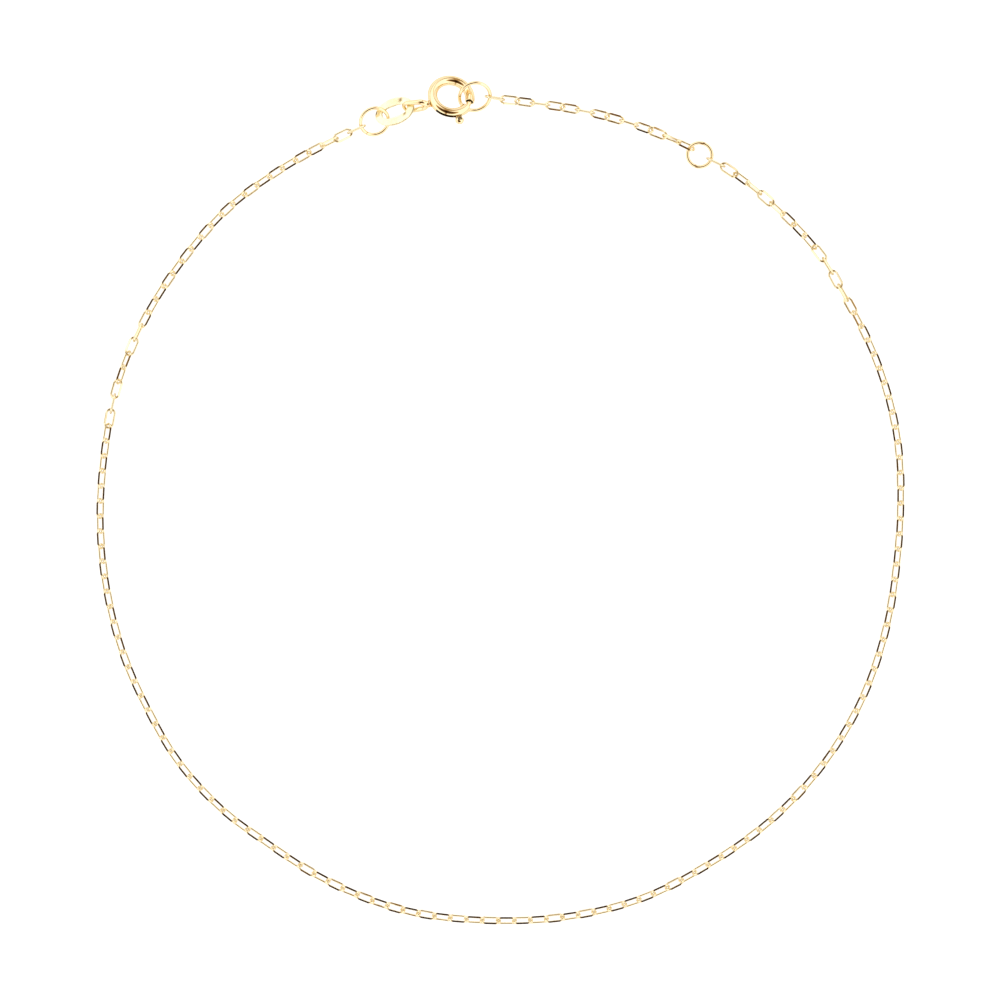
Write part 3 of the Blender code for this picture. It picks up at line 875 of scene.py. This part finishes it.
def tag_section(width):
    """Rounded section of the tag's band: distances from the hole with their heights."""
    half = TAG_THICKNESS / 2
    reach, top = width - TAG_EDGE, half - TAG_EDGE
    flat = np.linspace(reach, TAG_EDGE, TAG_BAND + 1)[1:-1]
    section = []
    for across, height, start in (
        (reach, top, 90), (reach, -top, 0), (TAG_EDGE, -top, -90), (TAG_EDGE, top, 180),
    ):
        if start == -90:
            section += [(s, -half) for s in flat]
        for k in range(TAG_ARC + 1):
            turn = math.radians(start - 90 * k / TAG_ARC)
            section.append((across + TAG_EDGE * math.cos(turn), height + TAG_EDGE * math.sin(turn)))
    section += [(s, half) for s in flat[::-1]]
    return section


def tag_dent(point):
    """How far the tag's face is raised here by its grain, less its dents."""
    dent = noise.noise(point * TAG_GRAIN) * TAG_GRAIN_DEPTH
    for x, y, depth in TAG_DENTS:
        away = (point - Vector((x, y, 0))).length / TAG_DENT_SIZE
        dent -= depth * math.exp(-away * away)
    return dent


def make_tag(material):
    half = TAG_THICKNESS / 2
    stations = []
    for k in range(TAG_STEPS):
        turn = 2 * math.pi * k / TAG_STEPS
        outer = oval_point(turn, TAG_LENGTH, TAG_WIDTH, 2.0)
        inner = oval_point(turn, TAG_HOLE_LENGTH, TAG_HOLE_WIDTH, TAG_HOLE_FULLNESS)
        across = (outer - inner).normalized()
        station = []
        for s, z in tag_section((outer - inner).length):
            point = inner + across * s
            share = 1 if z >= half - 1e-9 else 0.5
            point.z = z + (tag_dent(point) * share if z > 0 else 0.0)
            station.append(point)
        stations.append(station)
    points, faces = moved(sweep(stations, closed=True), node_frame("tag"))
    piece = mesh_piece("tag_plate", points, faces, material, "anklet", sharp=60)
    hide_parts("tag")


# Studio


def make_floor():
    material, nodes, links, shader = new_material("pale_floor")
    position = nodes.new("ShaderNodeTexCoord").outputs["Object"]
    grain = noise_value(nodes, links, position, FLOOR_GRAIN, 2)
    roughness = spread(nodes, links, grain, FLOOR_SMOOTHEST, FLOOR_ROUGHEST)
    links.new(roughness, shader.inputs["Roughness"])
    shader.inputs["Base Color"].default_value = (FLOOR_COLOR, FLOOR_COLOR, FLOOR_COLOR, 1)
    shader.inputs["Emission Color"].default_value = (1, 1, 1, 1)
    shader.inputs["Emission Strength"].default_value = FLOOR_GLOW
    shader.inputs["Specular IOR Level"].default_value = FLOOR_SHEEN
    mesh = bpy.data.meshes.new("floor")
    shape = bmesh.new()
    bmesh.ops.create_grid(shape, x_segments=1, y_segments=1, size=FLOOR_HALF)
    bmesh.ops.translate(shape, vec=(0, 0, -FLOOR_DROP), verts=shape.verts)
    shape.to_mesh(mesh)
    shape.free()
    mesh.materials.append(material)
    floor = bpy.data.objects.new("floor", mesh)
    bpy.context.scene.collection.objects.link(floor)


def make_dome():
    """A white tent all round, with a dark hole in its top for the camera and a slit across it."""
    world = bpy.data.worlds.new("white_room")
    bpy.context.scene.world = world
    world.use_nodes = True
    nodes, links = world.node_tree.nodes, world.node_tree.links
    background = nodes["Background"]
    direction = nodes.new("ShaderNodeTexCoord").outputs["Generated"]
    split = nodes.new("ShaderNodeSeparateXYZ")
    links.new(direction, split.inputs["Vector"])
    ramp = nodes.new("ShaderNodeValToRGB")
    links.new(split.outputs["Z"], ramp.inputs["Fac"])
    elements = ramp.color_ramp.elements
    (first, first_color), (last, last_color) = DOME_RAMP[0], DOME_RAMP[-1]
    elements[0].position, elements[1].position = first, last
    elements[0].color = (*first_color, 1)
    elements[1].color = (*last_color, 1)
    for position, level in DOME_RAMP[1:-1]:
        element = elements.new(position)
        element.color = (*level, 1)
    sideways = nodes.new("ShaderNodeVectorMath")
    sideways.operation = "DOT_PRODUCT"
    sideways.inputs[1].default_value = SLIT_ACROSS
    links.new(direction, sideways.inputs[0])
    distance = nodes.new("ShaderNodeMath")
    distance.operation = "ABSOLUTE"
    links.new(sideways.outputs["Value"], distance.inputs[0])
    opening = nodes.new("ShaderNodeMapRange")
    opening.inputs["From Min"].default_value = SLIT_INNER
    opening.inputs["From Max"].default_value = SLIT_OUTER
    links.new(distance.outputs["Value"], opening.inputs["Value"])
    tent = nodes.new("ShaderNodeMix")
    tent.data_type = "RGBA"
    tent.blend_type = "MULTIPLY"
    tent.inputs["Factor"].default_value = 1.0
    slit = nodes.new("ShaderNodeMix")
    slit.data_type = "RGBA"
    slit.inputs["A"].default_value = (*SLIT_COLOR, 1)
    slit.inputs["B"].default_value = (1, 1, 1, 1)
    links.new(opening.outputs["Result"], slit.inputs["Factor"])
    links.new(ramp.outputs["Color"], tent.inputs["A"])
    links.new(slit.outputs["Result"], tent.inputs["B"])
    links.new(tent.outputs["Result"], background.inputs["Color"])
    background.inputs["Strength"].default_value = DOME_STRENGTH


def make_camera():
    data = bpy.data.cameras.new("photo_camera")
    data.lens = CAMERA_LENS
    data.sensor_width = SENSOR
    data.clip_start = 0.01
    data.clip_end = 10
    camera = bpy.data.objects.new("photo_camera", data)
    bpy.context.scene.collection.objects.link(camera)
    distance = PHOTO_PIXEL * PHOTO_SIZE * CAMERA_LENS / SENSOR
    middle = PHOTO_SIZE / 2
    camera.location = (
        (middle - ORIGIN_PIXEL[0]) * PHOTO_PIXEL,
        (ORIGIN_PIXEL[1] - middle) * PHOTO_PIXEL,
        distance + CHAIN_LEVEL,
    )
    bpy.context.scene.camera = camera


def build():
    # The fourth material is painted shade for the tube's inside and the grip's grooves.
    chain_gold, clasp_gold, tag_gold, shade = (gold(name, *look) for name, look in GOLDS.items())
    route = Route()
    make_main_run(route, chain_gold)
    make_extender(chain_gold)
    for node, seam_angle in SEAM_PLACES.items():
        make_jump_ring(node, seam_angle, clasp_gold)
    clasp = clasp_frame()
    make_clasp(clasp, clasp_gold, shade)
    make_trigger(clasp, clasp_gold, shade)
    make_tag(tag_gold)
    make_floor()
    make_dome()
    make_camera()
    bpy.context.scene.view_settings.view_transform = "Standard"


build()
